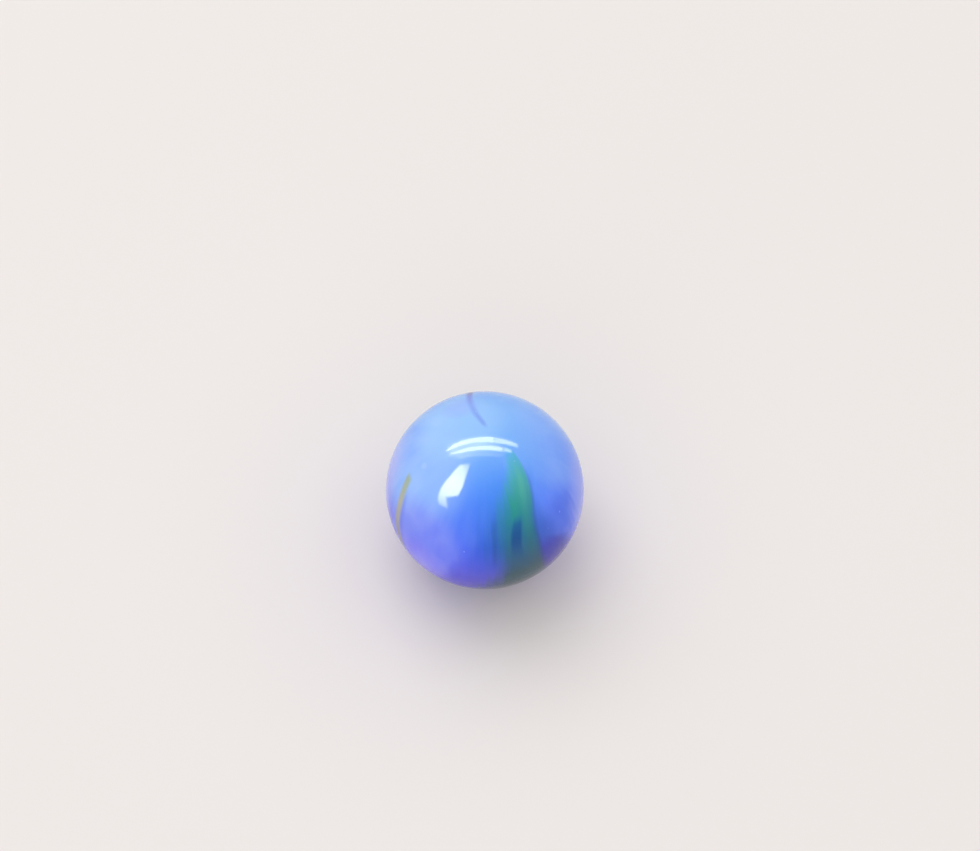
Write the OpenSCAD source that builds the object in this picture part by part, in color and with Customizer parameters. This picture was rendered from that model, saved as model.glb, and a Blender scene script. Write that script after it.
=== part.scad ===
// Glass marble: one solid ball of opaque glass, with no hole, seam or flat.
// Sizes are in millimetres, +Z is up, and the origin is the centre of the ball.

/* [Ball] */
// Diameter of the ball
ball_d = 19; // [12:0.5:25]

/* [Colour] */
// Colour of the glass
glass_colour = "cornflowerblue"; // [cornflowerblue, royalblue, seagreen, white]

/* [Fineness] */
// Straight edges around the equator of the drawn ball
ball_facets = 120; // [48:12:360]

/* [Hidden] */
ball_r = ball_d / 2;

// The whole marble: a gather of glass that was rolled round while it was hot.
// Its streaks are coloured glass in the same mass, so they add no shape.
module marble() {
    color(glass_colour)
        sphere(r = ball_r, $fn = ball_facets);
}

marble();
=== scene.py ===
"""Looks of the glass marble: an opaque blue ball with streaks of coloured glass, on a pale floor.

Lengths are in metres. A place on the ball is a latitude and a longitude in degrees: latitude 90 is the
top (+Z), and longitude is 0 towards the viewer (-Y) and 90 towards the viewer's right (+X). The same two
angles give the direction of a lamp or of a mirrored wall, as seen from the ball.
"""

import math
from dataclasses import dataclass

import bpy
import numpy as np
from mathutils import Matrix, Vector


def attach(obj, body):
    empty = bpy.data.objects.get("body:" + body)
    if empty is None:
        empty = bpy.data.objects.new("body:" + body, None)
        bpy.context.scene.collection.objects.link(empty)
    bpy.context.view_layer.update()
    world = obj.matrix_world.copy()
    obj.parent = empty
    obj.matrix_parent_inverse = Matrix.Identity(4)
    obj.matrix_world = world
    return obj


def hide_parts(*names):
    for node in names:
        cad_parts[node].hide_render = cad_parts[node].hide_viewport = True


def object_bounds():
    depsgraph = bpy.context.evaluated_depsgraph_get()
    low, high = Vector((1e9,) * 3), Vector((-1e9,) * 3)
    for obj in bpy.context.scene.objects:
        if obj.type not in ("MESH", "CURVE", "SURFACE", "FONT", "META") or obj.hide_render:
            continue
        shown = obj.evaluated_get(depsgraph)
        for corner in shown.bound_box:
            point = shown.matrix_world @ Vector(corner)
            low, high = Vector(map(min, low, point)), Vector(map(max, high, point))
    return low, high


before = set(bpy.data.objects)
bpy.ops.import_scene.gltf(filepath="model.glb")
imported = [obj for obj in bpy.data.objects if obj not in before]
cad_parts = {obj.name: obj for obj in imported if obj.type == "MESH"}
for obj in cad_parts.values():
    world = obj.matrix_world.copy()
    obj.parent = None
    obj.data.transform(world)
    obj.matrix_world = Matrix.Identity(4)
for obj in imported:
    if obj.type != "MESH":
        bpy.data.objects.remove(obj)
cad_low, cad_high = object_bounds()

MM = 0.001
CENTRE = (cad_low + cad_high) / 2
BALL_RADIUS = (cad_high.z - cad_low.z) / 2
UPWARD = (0.0, 0.0, 1.0)


def srgb(red, green, blue):
    """Turns a colour as a screen shows it, 0 to 255, into the linear colour that shaders take."""
    def linear(value):
        share = value / 255
        return share / 12.92 if share <= 0.04045 else ((share + 0.055) / 1.055) ** 2.4
    return (linear(red), linear(green), linear(blue), 1.0)


WHITE = srgb(255, 255, 255)


def direction(latitude, longitude):
    """The unit direction of a place on the ball, or of something in the room around it."""
    tilt, turn = math.radians(latitude), math.radians(longitude)
    return Vector((math.cos(tilt) * math.sin(turn), -math.cos(tilt) * math.cos(turn), math.sin(tilt)))


def add_object(name, data):
    """Puts a mesh, a lamp or a camera into the scene."""
    added = bpy.data.objects.new(name, data)
    bpy.context.collection.objects.link(added)
    return added


def stand(placed, place, aim):
    """Moves a lamp or a camera to a place and turns it to face another place."""
    placed.location = place
    placed.rotation_mode = "QUATERNION"
    placed.rotation_quaternion = (aim - place).to_track_quat("-Z", "Y")


# ---------------------------------------------------------------- the ball's mesh

CELLS = 120                          # grid cells along each edge of the cube that the ball is blown up from
SKIN_DEPTH = 0.006 * MM              # the finished surface stays this far inside the true ball
WAVE_HEIGHT = 0.0035 * MM            # from the lowest to the highest point of the waves in the surface
WAVE_LENGTHS = (2.0 * MM, 9.0 * MM)  # of the shortest and the longest waves
WAVE_COUNT = 28                      # how many waves cross each other
WAVE_SEED = 19                       # of the random draws that make them
UV_NAME = "OFBake"
UV_MARGIN = 0.02                     # share of a face's UV square that stays free along each side

# Outward, rightward and upward direction of each cube face, right x up = outward.
CUBE_FACES = [
    ((1, 0, 0), (0, 1, 0), (0, 0, 1)),
    ((-1, 0, 0), (0, -1, 0), (0, 0, 1)),
    ((0, 1, 0), (-1, 0, 0), (0, 0, 1)),
    ((0, -1, 0), (1, 0, 0), (0, 0, 1)),
    ((0, 0, 1), (1, 0, 0), (0, 1, 0)),
    ((0, 0, -1), (1, 0, 0), (0, -1, 0)),
]
ATLAS_COLUMNS, ATLAS_ROWS = 3, 2  # how the six faces lie in the UV square


def cube_sphere(cells):
    """Returns unit directions, quads, and one UV pair for each quad corner."""
    steps = np.tan(np.linspace(-math.pi / 4, math.pi / 4, cells + 1))
    across, up = np.meshgrid(steps, steps)
    share = np.linspace(UV_MARGIN, 1 - UV_MARGIN, cells + 1)
    share_across, share_up = np.meshgrid(share, share)
    corner = np.arange((cells + 1) ** 2).reshape(cells + 1, cells + 1)
    around = np.stack([corner[:-1, :-1], corner[:-1, 1:], corner[1:, 1:], corner[1:, :-1]], axis=-1)
    around = around.reshape(-1, 4)
    points, quads, uvs = [], [], []
    for number, (outward, rightward, upward) in enumerate(CUBE_FACES):
        grid = np.array(outward) + across[..., None] * rightward + up[..., None] * upward
        points.append(grid.reshape(-1, 3))
        quads.append(around + number * corner.size)
        row, column = divmod(number, ATLAS_COLUMNS)
        uv = np.stack([(share_across + column) / ATLAS_COLUMNS, (share_up + row) / ATLAS_ROWS], axis=-1)
        uvs.append(uv.reshape(-1, 2)[around].reshape(-1, 2))
    points = np.concatenate(points)
    points /= np.linalg.norm(points, axis=1, keepdims=True)
    _, first, welded = np.unique(np.round(points, 6), axis=0, return_index=True, return_inverse=True)
    return points[first], welded.reshape(-1)[np.concatenate(quads)], np.concatenate(uvs)


def waviness(directions):
    """Height of the fire-polished surface over its lowest point, 0 to 1: faint waves of mixed length."""
    dice = np.random.default_rng(WAVE_SEED)
    total = np.zeros(len(directions))
    for _ in range(WAVE_COUNT):
        heading = dice.normal(size=3)
        heading /= np.linalg.norm(heading)
        length = dice.uniform(*WAVE_LENGTHS)
        phase = dice.uniform(0, 2 * math.pi)
        turns = 2 * math.pi * BALL_RADIUS / length
        total += length / WAVE_LENGTHS[1] * np.cos(turns * directions @ heading + phase)
    total -= total.min()
    return total / total.max()


# ---------------------------------------------------------------- streaks of coloured glass

@dataclass
class Streak:
    """A streak drawn out from pole to pole. Places across it count -1 at its left edge, 1 at its right."""

    name: str
    run: list       # (latitude, longitude of the left edge, longitude of the right edge), from the top down
    left: tuple     # places across where the colour starts to show and where it is full
    right: tuple    # places across where the colour is still full and where it is gone
    top: tuple      # latitudes where the colour starts to show and where it is full
    bottom: tuple   # latitudes where the colour is still full and where it is gone
    solid: float    # how solid the colour is at its fullest
    torn: float     # how far fibres tear its left edge, in half-widths
    colours: list   # (latitude, colour), from the bottom up

    def middle_longitude(self):
        """The longitude that the streak keeps near to, which tells its side of the ball from the far side."""
        return sum(left + right for _, left, right in self.run) / 2 / len(self.run)


# In the order in which they are laid over the glass. First come pale painted reflections down both rims, the
# veil and the shade on the ribbon's left and painted shade on its right, then the green ribbon with what lies
# in it, the olive line on the left and the violet hair line at the back.
STREAKS = [
    # Painted reflection: a pale lilac rim down the left side, darker at its foot.
    Streak(
        name="painted_reflection_left",
        run=[(50, -110, -88), (35, -110, -84), (20, -108, -76), (5, -100, -72), (-20, -92, -68),
             (-60, -86, -64)],
        left=(-2.0, 0.0), right=(0.0, 1.6), top=(46, 24), bottom=(8, -30), solid=0.85, torn=0.4,
        colours=[(-20, srgb(116, 112, 238)), (5, srgb(150, 158, 255)), (24, srgb(172, 182, 255)),
                 (44, srgb(150, 184, 255))],
    ),
    # Painted reflection: a pale rim down the right side, darker at its foot.
    Streak(
        name="painted_reflection_right",
        run=[(45, 86, 108), (25, 70, 100), (10, 61, 92), (-10, 60, 86), (-60, 60, 80)],
        left=(-1.6, 0.0), right=(0.0, 2.0), top=(40, 22), bottom=(0, -34), solid=0.85, torn=0.35,
        colours=[(-20, srgb(104, 100, 230)), (5, srgb(140, 152, 250)), (24, srgb(142, 162, 255)),
                 (40, srgb(128, 164, 255))],
    ),
    Streak(
        name="veil",
        run=[(60, 4, 30), (45, 0, 26), (30, -2, 23), (15, -4, 22), (0, -6, 24), (-60, -12, 22)],
        left=(-2.4, 0.6), right=(1.0, 1.8), top=(79, 50), bottom=(-50, -80), solid=0.95, torn=0.4,
        colours=[(-20, srgb(58, 48, 156)), (0, srgb(72, 72, 188)), (12, srgb(54, 86, 196)),
                 (25, srgb(30, 98, 184)), (40, srgb(54, 122, 208)), (55, srgb(64, 138, 238)),
                 (72, srgb(54, 142, 248))],
    ),
    Streak(
        name="shade",
        run=[(46, 6, 10), (36, 4, 9), (20, 4, 8), (0, 2, 6)],
        left=(-2.0, 0.0), right=(0.0, 1.6), top=(50, 36), bottom=(20, 0), solid=0.45, torn=0.6,
        colours=[(0, srgb(30, 44, 140)), (40, srgb(30, 84, 180))],
    ),
    # Painted shade: the right side of the ball darker, up along the ribbon's right edge.
    Streak(
        name="painted_shade_right",
        run=[(66, 60, 72), (58, 50, 60), (50, 38, 46), (30, 34, 46), (10, 34, 50), (-10, 36, 56)],
        left=(-1.6, -1.0), right=(-0.4, 2.0), top=(66, 48), bottom=(4, -14), solid=0.9, torn=0.3,
        colours=[(0, srgb(44, 50, 168)), (12, srgb(48, 76, 190)), (30, srgb(56, 104, 206)),
                 (45, srgb(66, 124, 238)), (60, srgb(70, 142, 236))],
    ),
    # Painted shade and painted dark reflection: a violet patch low on the right.
    Streak(
        name="painted_crease_shade",
        run=[(24, 34, 38), (17, 33.5, 45), (9, 34, 54), (2, 34, 57), (-6, 34, 59), (-20, 34, 62),
             (-45, 38, 66), (-75, 40, 64)],
        left=(-1.3, -0.9), right=(0.3, 1.4), top=(24, 10), bottom=(-30, -72), solid=0.9, torn=0.4,
        colours=[(-20, srgb(76, 44, 140)), (0, srgb(40, 24, 160)), (16, srgb(50, 60, 182))],
    ),
    Streak(
        name="ribbon",
        run=[(80, 62, 82), (72, 45, 67), (66, 34, 59), (60, 26, 52.5), (52, 19, 46.5), (45, 16, 41.5),
             (38, 13, 37), (30, 12, 35), (18, 12, 34.5), (8, 13, 34.5), (0, 11, 35.5), (-6, 8, 37),
             (-20, 3, 40), (-50, -6, 46), (-80, -12, 40)],
        left=(-1.9, -0.4), right=(0.82, 1.12), top=(80, 70), bottom=(-30, -70), solid=1.0, torn=0.32,
        colours=[(-30, srgb(30, 56, 70)), (0, srgb(20, 72, 88)), (10, srgb(28, 84, 118)),
                 (24, srgb(32, 108, 144)), (36, srgb(36, 126, 158)), (48, srgb(42, 148, 158)),
                 (60, srgb(54, 166, 178)), (74, srgb(80, 180, 228))],
    ),
    Streak(
        name="core",
        run=[(60, 32, 45), (50, 20, 36), (44, 17, 31), (38, 15, 28), (30, 13, 26)],
        left=(-1.2, 0.0), right=(0.0, 1.3), top=(64, 52), bottom=(44, 34), solid=0.65, torn=0.4,
        colours=[(30, srgb(30, 136, 136)), (42, srgb(34, 152, 138)), (56, srgb(46, 166, 152))],
    ),
    Streak(
        name="strand",
        run=[(68, 46, 54), (55, 35, 43), (45, 29, 36), (35, 27, 33), (20, 26, 31), (8, 26, 31)],
        left=(-1.6, 0.0), right=(0.0, 1.6), top=(74, 58), bottom=(36, -6), solid=0.6, torn=0.4,
        colours=[(5, srgb(34, 84, 76)), (24, srgb(32, 112, 120)), (40, srgb(46, 148, 144)),
                 (60, srgb(76, 184, 164))],
    ),
    Streak(
        name="window",
        run=[(44, 24, 30), (39, 20, 28), (32, 18, 25.5), (24, 17, 23.5), (10, 16, 24)],
        left=(-1.4, -0.6), right=(0.5, 1.2), top=(43, 36), bottom=(28, 8), solid=0.88, torn=0.3,
        colours=[(10, srgb(10, 66, 130)), (24, srgb(0, 72, 144)), (32, srgb(0, 80, 150)),
                 (40, srgb(14, 104, 160))],
    ),
    Streak(
        name="seam",
        run=[(72, 64, 69), (64, 55, 59), (50, 43, 47), (40, 36, 40), (30, 33, 37), (15, 32, 36),
             (0, 34, 38), (-20, 38, 42)],
        left=(-1.5, 0.2), right=(0.0, 1.6), top=(72, 45), bottom=(0, -20), solid=0.42, torn=0.2,
        colours=[(-10, srgb(14, 44, 84)), (20, srgb(16, 72, 116)), (45, srgb(30, 104, 172))],
    ),
    Streak(
        name="olive_edge",
        run=[(36, -69, -66), (26, -66, -62), (18, -63, -59), (10, -61, -57), (2, -58, -54),
             (-15, -53, -49)],
        left=(-1.8, 0.0), right=(0.0, 2.4), top=(38, 24), bottom=(0, -12), solid=0.5, torn=0.2,
        colours=[(0, srgb(84, 92, 214)), (30, srgb(96, 120, 240))],
    ),
    Streak(
        name="olive",
        run=[(40, -79, -70), (33, -74.5, -66.5), (26, -71, -63.5), (18, -68, -61), (10, -66, -59),
             (2, -63, -56.5), (-4, -60.5, -54.5), (-16, -58, -53), (-30, -57, -53.5), (-50, -60, -57)],
        left=(-1.2, -0.3), right=(0.2, 1.2), top=(41.5, 38), bottom=(-30, -48), solid=0.9, torn=0.0,
        colours=[(-20, srgb(116, 112, 104)), (2, srgb(128, 124, 124)), (14, srgb(162, 160, 148)),
                 (24, srgb(176, 174, 144)), (38, srgb(152, 174, 140))],
    ),
    Streak(
        name="hair",
        run=[(84, 156, 182), (81, 166, 191), (79.5, 171, 195), (75, 181.5, 200.5), (70.5, 187, 203),
             (62.5, 190.5, 201.5), (52, 190, 199), (42, 187, 196), (35, 186, 194), (10, 184, 190),
             (-30, 189, 193)],
        left=(-1.1, 0.0), right=(0.0, 1.1), top=(83, 78), bottom=(-10, -35), solid=0.75, torn=0.2,
        colours=[(0, srgb(84, 70, 170)), (36, srgb(66, 46, 126)), (42, srgb(78, 62, 150)),
                 (48, srgb(114, 122, 222)), (60, srgb(122, 156, 244)), (80, srgb(112, 148, 240))],
    ),
]

RUN_LATITUDES = np.arange(-90, 90.5, 0.5)  # where each edge is worked out
RUN_ROUNDING = 30                          # smoothing passes over each edge
REACH = 4.0                                # places across are kept to this many half-widths each side


def edge_run(latitudes, longitudes):
    """Longitude of an edge at every one of RUN_LATITUDES, as a smooth line through its points."""
    line = np.interp(RUN_LATITUDES, latitudes[::-1], longitudes[::-1])
    for _ in range(RUN_ROUNDING):
        line[1:-1] = (line[:-2] + 2 * line[1:-1] + line[2:]) / 4
    return line


def place_across(streak, latitude, longitude):
    """Place across a streak of each point of the ball."""
    latitudes, lefts, rights = zip(*streak.run)
    left = np.interp(latitude, RUN_LATITUDES, edge_run(latitudes, lefts))
    right = np.interp(latitude, RUN_LATITUDES, edge_run(latitudes, rights))
    turn = (longitude - (left + right) / 2 + 180) % 360 - 180
    return np.clip(turn / ((right - left) / 2), -REACH, REACH)


def build_marble():
    """The whole ball as one closed mesh, with the places across its streaks as attributes."""
    directions, quads, uvs = cube_sphere(CELLS)
    radii = BALL_RADIUS - SKIN_DEPTH - WAVE_HEIGHT * (1 - waviness(directions))
    mesh = bpy.data.meshes.new("marble_glass")
    mesh.from_pydata(np.array(CENTRE) + directions * radii[:, None], [], quads.tolist())
    mesh.shade_smooth()
    mesh.uv_layers.new(name=UV_NAME).data.foreach_set("uv", uvs.ravel())
    latitude = np.degrees(np.arcsin(directions[:, 2]))
    longitude = np.degrees(np.arctan2(directions[:, 0], -directions[:, 1]))
    fields = {"latitude": latitude}
    for streak in STREAKS:
        fields[streak.name] = place_across(streak, latitude, longitude)
    for name, values in fields.items():
        attribute = mesh.attributes.new(name, "FLOAT", "POINT")
        attribute.data.foreach_set("value", values.astype(np.float32))
    mesh.materials.append(glass_material())
    return add_object("marble_glass", mesh)


# ---------------------------------------------------------------- node helpers

class Nodes:
    """Short calls that add nodes to one material or world and link them."""

    def __init__(self, owner):
        owner.use_nodes = True
        self.tree = owner.node_tree
        self.tree.nodes.clear()

    def add(self, kind, **settings):
        node = self.tree.nodes.new(kind)
        for key, value in settings.items():
            setattr(node, key, value)
        return node

    def feed(self, socket, value):
        """Links a socket to another node's output, or sets it to a plain value."""
        if isinstance(value, bpy.types.NodeSocket):
            self.tree.links.new(value, socket)
        else:
            socket.default_value = value

    def surface(self, shader, output="ShaderNodeOutputMaterial"):
        """Makes a shader the one that shows."""
        self.feed(self.add(output).inputs["Surface"], shader)

    def attribute(self, name):
        return self.add("ShaderNodeAttribute", attribute_name=name).outputs["Fac"]

    def position(self):
        return self.add("ShaderNodeTexCoord").outputs["Object"]

    def math(self, operation, first, second=0.0):
        node = self.add("ShaderNodeMath", operation=operation)
        self.feed(node.inputs[0], first)
        self.feed(node.inputs[1], second)
        return node.outputs[0]

    def vector_math(self, operation, first, second=(0.0, 0.0, 0.0)):
        node = self.add("ShaderNodeVectorMath", operation=operation)
        self.feed(node.inputs[0], first)
        self.feed(node.inputs[1], second)
        return node.outputs["Value" if operation in ("DOT_PRODUCT", "LENGTH") else "Vector"]

    def vector(self, x, y, z):
        node = self.add("ShaderNodeCombineXYZ")
        for socket, value in zip(node.inputs, (x, y, z)):
            self.feed(socket, value)
        return node.outputs[0]

    def noise(self, place, cells, detail, roughness=0.5):
        """Noise with this many cells to each unit of the place, and finer layers as detail says."""
        node = self.add("ShaderNodeTexNoise")
        self.feed(node.inputs["Vector"], place)
        node.inputs["Scale"].default_value = cells
        node.inputs["Detail"].default_value = detail
        node.inputs["Roughness"].default_value = roughness
        return node.outputs["Fac"]

    def distance_to_seed(self, place, spacing):
        """Distance to the nearest of many points that are strewn through space."""
        node = self.add("ShaderNodeTexVoronoi")
        self.feed(node.inputs["Vector"], place)
        node.inputs["Scale"].default_value = 1 / spacing
        return self.math("MULTIPLY", node.outputs["Distance"], spacing)

    def spread(self, value, low, high, to_low=0.0, to_high=1.0):
        """Maps low..high to to_low..to_high along a smooth step."""
        node = self.add("ShaderNodeMapRange", interpolation_type="SMOOTHSTEP")
        self.feed(node.inputs["Value"], value)
        node.inputs["From Min"].default_value = low
        node.inputs["From Max"].default_value = high
        node.inputs["To Min"].default_value = to_low
        node.inputs["To Max"].default_value = to_high
        return node.outputs["Result"]

    def within(self, heading, latitude, longitude, inner, outer):
        """1 for headings within inner degrees of a direction, and 0 past outer degrees."""
        near = self.vector_math("DOT_PRODUCT", heading, direction(latitude, longitude))
        return self.spread(near, math.cos(math.radians(outer)), math.cos(math.radians(inner)))

    def ramp(self, value, stops):
        """A colour at each value, from (place, colour) stops; the places may span any range."""
        low, high = stops[0][0], stops[-1][0]
        over_low = self.math("SUBTRACT", value, low)
        node = self.add("ShaderNodeValToRGB")
        self.feed(node.inputs["Fac"], self.math("DIVIDE", over_low, high - low))
        elements = node.color_ramp.elements
        while len(elements) < len(stops):
            elements.new(0.5)
        for element, (place, colour) in zip(elements, stops):
            element.position = (place - low) / (high - low)
            element.color = colour
        return node.outputs["Color"]

    def gamma(self, colour, power):
        node = self.add("ShaderNodeGamma")
        self.feed(node.inputs["Color"], colour)
        self.feed(node.inputs["Gamma"], power)
        return node.outputs["Color"]

    def blend(self, kind, share, first, second):
        """Mixes two numbers, where kind is FLOAT, or two colours, where it is RGBA."""
        node = self.add("ShaderNodeMix", data_type=kind)
        in_use = [socket for socket in node.inputs if socket.enabled]
        for socket, value in zip(in_use, (share, first, second)):
            self.feed(socket, value)
        return next(socket for socket in node.outputs if socket.enabled)


# ---------------------------------------------------------------- the glass

# Colour of the glass at each latitude: its own blue with painted light and shade laid in, paler towards the
# top and darker and more violet towards the bottom, where a pinkish bounce light is painted too.
BODY_COLOURS_WITH_PAINTED_SHADE = [
    (-90, srgb(70, 58, 180)),
    (-14, srgb(76, 58, 204)),
    (5, srgb(80, 86, 232)),
    (22, srgb(76, 108, 250)),
    (40, srgb(80, 128, 255)),
    (60, srgb(78, 146, 255)),
    (90, srgb(88, 164, 252)),
]
BODY_WANDER = 7               # degrees of latitude by which those colours wander up and down
BODY_WANDER_CELLS = 160       # noise cells to a metre

# Clouds of other tints in the glass, and painted light, shade and reflection where marked: colour, latitude
# and longitude of the middle, how many degrees the full colour reaches, how many degrees its edge reaches,
# and how solid it is.
CLOUDS = [
    (srgb(130, 186, 254), 28, 180, 38, 104, 0.9),
    # Paler glass on the upper left, partly painted reflection.
    (srgb(140, 184, 255), 46, -73, 14, 39, 0.95),
    (srgb(116, 162, 252), 40, -98, 3, 20, 0.3),
    # Paler glass near the top, partly painted reflection.
    (srgb(160, 206, 254), 70, -130, 10, 32, 0.5),
    (srgb(142, 172, 255), 58, -152, 2, 13, 0.5),
    (srgb(120, 162, 255), 34, 104, 8, 42, 0.5),
    # Painted shade: the right side of the ball darker.
    (srgb(82, 122, 230), 17, 55, 4, 24, 0.65),
    # Painted bounce light: pinkish-lilac patches low on the left, in this entry and the next.
    (srgb(126, 144, 255), 14, -43, 8, 32, 0.85),
    (srgb(134, 124, 252), -6, -44, 4, 26, 0.6),
    (srgb(98, 122, 250), 15, -54, 2, 12, 0.5),
    (srgb(92, 112, 248), 16, -26, 1, 9, 0.4),
    (srgb(180, 212, 250), 51.5, -74, 0.5, 2.6, 0.22),
    (srgb(90, 88, 214), -56, -128, 6, 38, 0.6),
    (srgb(82, 70, 200), -64, 96, 4, 34, 0.6),
]

# Thin and dense strands of the plain glass, drawn out from pole to pole.
STRANDS_AROUND = 3.5          # noise cells to each radius of the circle round the poles
STRANDS_ALONG = 0.008         # of a radius for each degree of latitude, so that strands are long
STRANDS_END = (30, 70)        # latitudes, north and south, over which they melt together
STRAND_LEVELS = (0.3, 0.7)    # the noise that gives the thinnest and the densest strands
STRAND_STRENGTH = 0.1         # how far the gamma of a strand goes either side of 1

# The finer fibres that tear the left edges of the streaks, measured as the strands are.
FIBRES_AROUND = 19.0
FIBRES_ALONG = 0.0014

# Seeds: tiny bubbles that stopped just under the surface and show as faint pale dots.
SEED_COLOUR = srgb(200, 222, 252)
SEED_SPACING = 2.2 * MM
SEED_RADII = (0.03 * MM, 0.14 * MM)  # where the full dot ends and where its edge ends
SEED_STRENGTH = 0.22

# The polish: smudges vary the roughness, and ripples are far finer than the waves in the mesh.
SMUDGE_CELLS = 420            # noise cells to a metre
SMUDGE_FINENESS = 0.6         # how much each finer layer of that noise counts against the one before
SMUDGE_LEVELS = (0.35, 0.75)  # the noise that gives the least and the most roughness
ROUGHNESS = (0.03, 0.06)
RIPPLE_CELLS = 1400           # noise cells to a metre
RIPPLE_STRENGTH = 0.02
RIPPLE_HEIGHT = 0.02 * MM

# The glass itself: how it bends light, and how far light spreads under its surface.
IOR = 1.52
SPREAD_WEIGHT = 0.25
SPREAD_RADIUS = (0.5, 0.8, 1.0)
SPREAD_SCALE = 0.6 * MM


def drawn_out_noise(nodes, heading, latitude, cells, stretch):
    """Noise in fibres that run from pole to pole."""
    around = nodes.vector_math("NORMALIZE", nodes.vector_math("MULTIPLY", heading, (1, 1, 0)))
    along = nodes.vector(0.0, 0.0, nodes.math("MULTIPLY", latitude, stretch))
    return nodes.noise(nodes.vector_math("ADD", around, along), cells, detail=2)


def glass_with_painted_light(nodes, place, heading, latitude):
    """Colour of the glass without its streaks, with painted light, shade and reflection laid into it."""
    wander = nodes.noise(place, BODY_WANDER_CELLS, detail=2)
    wander = nodes.math("MULTIPLY", nodes.math("SUBTRACT", wander, 0.5), 2 * BODY_WANDER)
    colour = nodes.ramp(nodes.math("ADD", latitude, wander), BODY_COLOURS_WITH_PAINTED_SHADE)
    for tint, *cloud, solid in CLOUDS:
        share = nodes.math("MULTIPLY", nodes.within(heading, *cloud), solid)
        colour = nodes.blend("RGBA", share, colour, tint)
    strands = drawn_out_noise(nodes, heading, latitude, STRANDS_AROUND, STRANDS_ALONG)
    strands = nodes.spread(strands, *STRAND_LEVELS, -STRAND_STRENGTH, STRAND_STRENGTH)
    melted = nodes.spread(nodes.math("ABSOLUTE", latitude), *STRANDS_END, 1.0, 0.0)
    return nodes.gamma(colour, nodes.math("ADD", 1.0, nodes.math("MULTIPLY", strands, melted)))


def lay_streak(nodes, colour, streak, heading, latitude, fibre):
    """Mixes one streak into the colour so far; the fibres, -1 to 1, tear its left edge."""
    across = nodes.attribute(streak.name)
    torn = nodes.math("ADD", across, nodes.math("MULTIPLY", fibre, streak.torn))
    facing = nodes.vector_math("DOT_PRODUCT", heading, direction(0, streak.middle_longitude()))
    share = streak.solid
    for part in (
        nodes.spread(torn, *streak.left),
        nodes.spread(across, *streak.right, 1.0, 0.0),
        nodes.spread(latitude, *sorted(streak.top), 1.0, 0.0),
        nodes.spread(latitude, *sorted(streak.bottom)),
        nodes.math("GREATER_THAN", facing, 0.0),
    ):
        share = nodes.math("MULTIPLY", part, share)
    return nodes.blend("RGBA", share, colour, nodes.ramp(latitude, streak.colours))


def glass_material():
    material = bpy.data.materials.new("marble_swirl")
    nodes = Nodes(material)
    place = nodes.position()
    heading = nodes.vector_math("NORMALIZE", place)
    latitude = nodes.attribute("latitude")

    colour = glass_with_painted_light(nodes, place, heading, latitude)
    fibre = drawn_out_noise(nodes, heading, latitude, FIBRES_AROUND, FIBRES_ALONG)
    fibre = nodes.spread(fibre, 0.0, 1.0, -1.0, 1.0)
    for streak in STREAKS:
        colour = lay_streak(nodes, colour, streak, heading, latitude, fibre)
    seeds = nodes.spread(nodes.distance_to_seed(place, SEED_SPACING), *SEED_RADII, SEED_STRENGTH, 0.0)
    colour = nodes.blend("RGBA", seeds, colour, SEED_COLOUR)

    smudge = nodes.noise(place, SMUDGE_CELLS, detail=2, roughness=SMUDGE_FINENESS)
    bump = nodes.add("ShaderNodeBump")
    bump.inputs["Strength"].default_value = RIPPLE_STRENGTH
    bump.inputs["Distance"].default_value = RIPPLE_HEIGHT
    nodes.feed(bump.inputs["Height"], nodes.noise(place, RIPPLE_CELLS, detail=1))

    shader = nodes.add("ShaderNodeBsdfPrincipled")
    nodes.feed(shader.inputs["Base Color"], colour)
    nodes.feed(shader.inputs["Roughness"], nodes.spread(smudge, *SMUDGE_LEVELS, *ROUGHNESS))
    nodes.feed(shader.inputs["Normal"], bump.outputs["Normal"])
    shader.inputs["IOR"].default_value = IOR
    shader.inputs["Subsurface Weight"].default_value = SPREAD_WEIGHT
    shader.inputs["Subsurface Radius"].default_value = SPREAD_RADIUS
    shader.inputs["Subsurface Scale"].default_value = SPREAD_SCALE
    nodes.surface(shader.outputs["BSDF"])
    return material


# ---------------------------------------------------------------- the room and the floor

BACKDROP_COLOUR = srgb(240, 235, 233)

# How bright the ball sees the room in its mirror, low down and higher up, and the height of a heading over
# which the one turns into the other.
ROOM_LEVELS = (0.8, 0.7)
ROOM_RISE = (0.0, 0.4)

# Parts of the room that it mirrors brighter or dimmer: latitude and longitude of the middle, how many degrees
# the full change reaches, how many degrees its edge reaches, and the change.
ROOM_PARTS = [
    (25, -116, 10, 80, 1.0),
    (25, 118, 15, 75, 0.5),
    (12, 15, 15, 60, -0.35),
]
PARTS_RISE = (-0.4, 0.1)       # heights of a heading between which those parts gain their full change
PARTS_FOOT_SHARE = 0.3         # share of the change below that

FLOOR_COLOUR = srgb(238, 232, 229)
FLOOR_ROUGHNESS = 0.9
FLOOR_REACH = 2.0
FLOOR_HUB = 0.001              # radius of the flat in the middle of the rings
FLOOR_RINGS, FLOOR_SIDES = 40, 96
FLOOR_FADE = (0.15, 0.45)      # distances from the ball between which the floor fades into the backdrop
MIRRORED_FADE = (-0.7, -0.03)  # the same for the floor that the ball mirrors, as heights of a heading


def mirrored_room(nodes, heading):
    """How bright the ball sees the room towards a heading."""
    height = nodes.vector_math("DOT_PRODUCT", heading, UPWARD)
    level = nodes.spread(height, *ROOM_RISE, *ROOM_LEVELS)
    share = nodes.spread(height, *PARTS_RISE, PARTS_FOOT_SHARE, 1.0)
    for *part, change in ROOM_PARTS:
        gain = nodes.math("MULTIPLY", nodes.within(heading, *part), change)
        level = nodes.math("ADD", level, nodes.math("MULTIPLY", gain, share))
    return level


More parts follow.
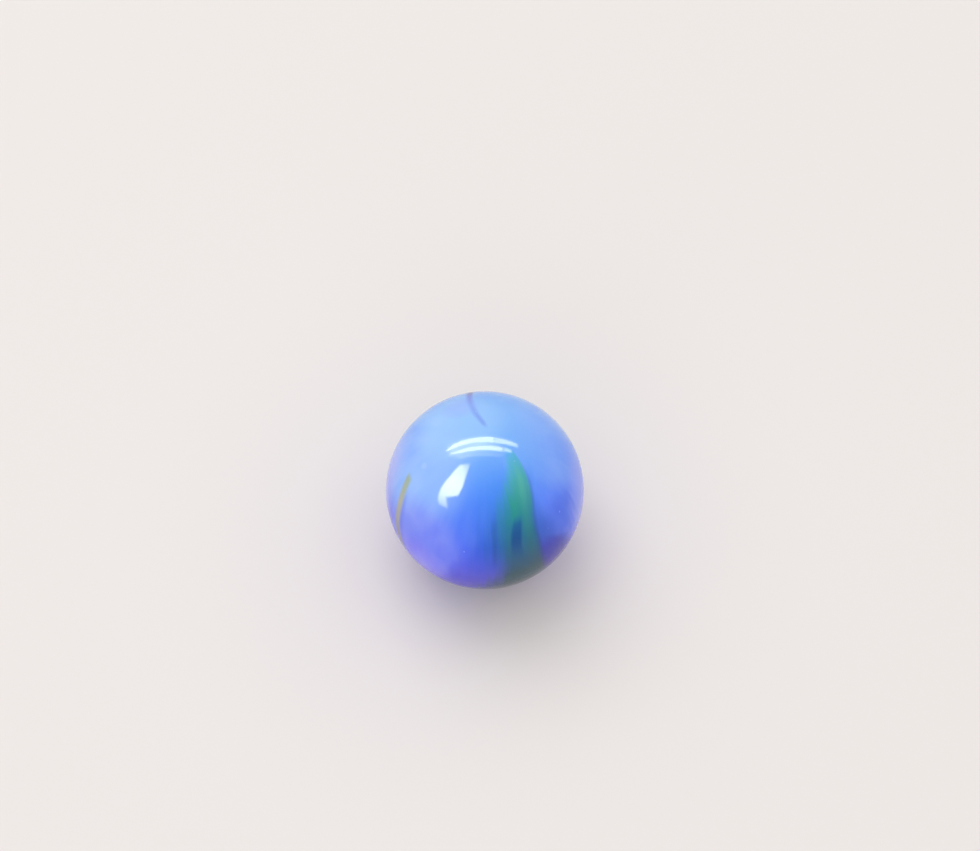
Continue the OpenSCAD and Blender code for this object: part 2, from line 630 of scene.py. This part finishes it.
def floor_material():
    """Pale and matt near the ball, and the backdrop's own colour far from it."""
    material = bpy.data.materials.new("pale_floor")
    nodes = Nodes(material)
    place = nodes.position()
    heading = nodes.vector_math("NORMALIZE", place)
    height = nodes.vector_math("DOT_PRODUCT", heading, UPWARD)
    mirrored = nodes.add("ShaderNodeLightPath").outputs["Is Glossy Ray"]
    near = nodes.add("ShaderNodeBsdfPrincipled")
    near.inputs["Base Color"].default_value = FLOOR_COLOUR
    near.inputs["Roughness"].default_value = FLOOR_ROUGHNESS
    near.inputs["Specular IOR Level"].default_value = 0.0
    far = nodes.add("ShaderNodeEmission")
    far.inputs["Color"].default_value = BACKDROP_COLOUR
    level = nodes.blend("FLOAT", mirrored, 1.0, mirrored_room(nodes, heading))
    nodes.feed(far.inputs["Strength"], level)
    seen_fade = nodes.spread(nodes.vector_math("LENGTH", place), *FLOOR_FADE)
    mirrored_fade = nodes.spread(height, *MIRRORED_FADE)
    fade = nodes.add("ShaderNodeMixShader")
    nodes.feed(fade.inputs["Fac"], nodes.blend("FLOAT", mirrored, seen_fade, mirrored_fade))
    nodes.feed(fade.inputs[1], near.outputs["BSDF"])
    nodes.feed(fade.inputs[2], far.outputs["Emission"])
    nodes.surface(fade.outputs["Shader"])
    return material


def add_floor():
    """A round pale floor that fades into the backdrop, so that no horizon shows."""
    points = []
    for ring in range(FLOOR_RINGS + 1):
        radius = FLOOR_REACH * (ring / FLOOR_RINGS) ** 2 + FLOOR_HUB
        for side in range(FLOOR_SIDES):
            turn = 2 * math.pi * side / FLOOR_SIDES
            points.append((radius * math.cos(turn), radius * math.sin(turn), cad_low.z))
    faces = [tuple(range(FLOOR_SIDES))]
    for first in range(FLOOR_RINGS * FLOOR_SIDES):
        after = first + 1 if (first + 1) % FLOOR_SIDES else first + 1 - FLOOR_SIDES
        faces.append((first, first + FLOOR_SIDES, after + FLOOR_SIDES, after))
    mesh = bpy.data.meshes.new("floor")
    mesh.from_pydata(points, [], faces)
    mesh.materials.append(floor_material())
    floor = add_object("floor", mesh)


# ---------------------------------------------------------------- lamps and glows

STUDIO_HEIGHT = 0.5   # of the ceiling over the ball; the window is as far away
WORLD_LEVEL = 0.8     # how bright the room lights the scene

# Softboxes that light the scene but don't show in the ball: latitude and longitude of their direction, their
# width and height, and their radiance.
SOFTBOXES = {
    "key_softbox": (62, -150, 0.5, 0.5, 1.3),
    "fill_softbox": (14, -10, 0.7, 0.4, 0.9),
}
SOFTBOX_DISTANCE = 0.65

# Lamps in the ceiling. Each corner has its place right of and behind the ball, in shares of the ceiling's
# height over it, and its strength.
CEILING_GLOWS = {
    "tube_far": [
        (-0.92, 0.475, 10), (0.2, 0.48, 10), (0.2, 0.69, 10), (-0.74, 0.665, 10), (-1.0, 0.56, 9),
    ],
    "tube_far_end": [(0.18, 0.475, 8), (0.78, 0.52, 7), (0.78, 0.7, 7), (0.18, 0.67, 8)],
    "tube_near": [
        (-0.8, 0.34, 9), (-0.45, 0.28, 10), (0.37, 0.28, 10), (0.37, 0.43, 10), (-0.8, 0.42, 9),
    ],
    "tube_near_end": [(0.37, 0.29, 8), (0.58, 0.31, 7), (0.58, 0.43, 7), (0.37, 0.43, 8)],
    "tray": [
        (-0.9, 0.32, 1.6), (-0.5, 0.15, 3.0), (0.24, 0.15, 2.4), (0.4, 0.2, 1.0), (0.7, 0.76, 1.0),
        (-0.95, 0.76, 1.6),
    ],
    "tray_gap": [
        (-0.8, 0.4, 3.0), (-0.1, 0.41, 4.0), (0.3, 0.41, 1.0), (0.3, 0.5, 1.0), (-0.1, 0.5, 4.0),
        (-0.8, 0.5, 3.0),
    ],
}
CEILING_STEP = 0.004  # of its height, by which each of them lies above the one before
CEILING_SOFT = 0.04   # how deep their edges fade, in shares of the studio's height

# The bright window: the direction of each corner from the ball, as a latitude and a longitude, and its
# strength.
WINDOW = [
    (75, -99, 6), (62, -96, 12), (49, -80, 15), (36, -73, 14), (28, -69, 10), (22, -64, 7), (20, -58, 6),
    (24, -45, 7), (33, -55, 12), (43, -43, 15), (54, -45, 16), (65, -56, 13), (73, -77, 7),
]
WINDOW_SOFT = 0.05


def add_softbox(name, latitude, longitude, width, height, radiance):
    """A soft rectangle that faces the ball and shines with the same radiance at any size."""
    data = bpy.data.lights.new(name, "AREA")
    data.shape = "RECTANGLE"
    data.size, data.size_y = width, height
    data.energy = radiance * math.pi * width * height
    lamp = add_object(name, data)
    stand(lamp, CENTRE + direction(latitude, longitude) * SOFTBOX_DISTANCE, CENTRE)
    lamp.visible_camera = False
    lamp.visible_glossy = False


def inset(corners, depth):
    """Moves the corners of an outline inwards; seen from the ball they run clockwise."""
    moved = []
    for number, corner in enumerate(corners):
        outward = (corner - CENTRE).normalized()
        before = outward.cross(corner - corners[number - 1]).normalized()
        after = outward.cross(corners[(number + 1) % len(corners)] - corner).normalized()
        moved.append(corner + (before + after) * depth / (1 + before.dot(after)))
    return moved


def glow_material(name):
    """Shines as its mesh's glow attribute says, and lets through what is behind it."""
    material = bpy.data.materials.new(name)
    nodes = Nodes(material)
    light = nodes.add("ShaderNodeEmission")
    nodes.feed(light.inputs["Strength"], nodes.attribute("glow"))
    both = nodes.add("ShaderNodeAddShader")
    nodes.feed(both.inputs[0], light.outputs["Emission"])
    nodes.feed(both.inputs[1], nodes.add("ShaderNodeBsdfTransparent").outputs["BSDF"])
    nodes.surface(both.outputs["Shader"])
    return material


def add_glow(name, corners, strengths, soft):
    """A bright outline that only shows mirrored in the ball; its edge fades in over the depth soft."""
    count = len(corners)
    faces = []
    for first in range(count):
        second = (first + 1) % count
        faces.append((first, second, second + count, first + count))
    # The inside is a ladder: its rungs join corners counted from both ends of the outline.
    for first in range((count - 1) // 2):
        last = count - 1 - first
        faces.append(sorted({first, first + 1, last - 1, last}))
    mesh = bpy.data.meshes.new(name)
    mesh.from_pydata(inset(corners, soft * STUDIO_HEIGHT) + corners, [], faces)
    levels = [*strengths, *[0.0] * count]
    mesh.attributes.new("glow", "FLOAT", "POINT").data.foreach_set("value", levels)
    mesh.materials.append(glow_material(name))
    glow = add_object(name, mesh)
    glow.visible_camera = False
    glow.visible_diffuse = False
    glow.visible_shadow = False


def add_glows():
    """The lamps in the ceiling, one just above the other, and the window."""
    for number, (name, outline) in enumerate(CEILING_GLOWS.items()):
        rise = STUDIO_HEIGHT * (1 + CEILING_STEP * number)
        corners = [CENTRE + Vector((right, back, 1)) * rise for right, back, _ in outline]
        add_glow(name, corners, [strength for _, _, strength in outline], CEILING_SOFT)
    corners = [CENTRE + direction(*angles) * STUDIO_HEIGHT for *angles, _ in WINDOW]
    add_glow("window", corners, [strength for _, _, strength in WINDOW], WINDOW_SOFT)


def build_world():
    """The camera sees the plain backdrop, the ball mirrors the room, and all else is lit evenly."""
    world = bpy.data.worlds.new("studio")
    bpy.context.scene.world = world
    nodes = Nodes(world)
    heading = nodes.add("ShaderNodeTexCoord").outputs["Generated"]
    ray = nodes.add("ShaderNodeLightPath").outputs
    lighting = nodes.blend("FLOAT", ray["Is Glossy Ray"], WORLD_LEVEL, mirrored_room(nodes, heading))
    backdrop = nodes.math("MAXIMUM", ray["Is Camera Ray"], ray["Is Transmission Ray"])
    background = nodes.add("ShaderNodeBackground")
    nodes.feed(background.inputs["Color"], nodes.blend("RGBA", backdrop, WHITE, BACKDROP_COLOUR))
    nodes.feed(background.inputs["Strength"], nodes.blend("FLOAT", backdrop, lighting, 1.0))
    nodes.surface(background.outputs["Background"], "ShaderNodeOutputWorld")


# ---------------------------------------------------------------- the camera

VIEW_ELEVATION = 60
CAMERA_DISTANCE = 300 * MM
AIM_RIGHT, AIM_UP = 0.5 * MM, 6.2 * MM  # from the ball's centre to the middle of the frame
FOCAL_LENGTH, SENSOR_WIDTH = 115.0, 36.0  # in millimetres, as Blender takes them
CLIP_START, CLIP_END = 10 * MM, 10.0


def add_camera():
    data = bpy.data.cameras.new("camera")
    data.lens, data.sensor_width = FOCAL_LENGTH, SENSOR_WIDTH
    data.clip_start, data.clip_end = CLIP_START, CLIP_END
    camera = add_object("camera", data)
    upward = direction(VIEW_ELEVATION + 90, 0)
    aim = CENTRE + Vector((AIM_RIGHT, 0, 0)) + upward * AIM_UP
    stand(camera, CENTRE + direction(VIEW_ELEVATION, 0) * CAMERA_DISTANCE, aim)
    bpy.context.scene.camera = camera


# ---------------------------------------------------------------- the scene

bpy.context.scene.view_settings.view_transform = "Standard"
marble = build_marble()
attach(marble, "root")
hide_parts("marble")
add_floor()
for name, softbox in SOFTBOXES.items():
    add_softbox(name, *softbox)
add_glows()
build_world()
add_camera()
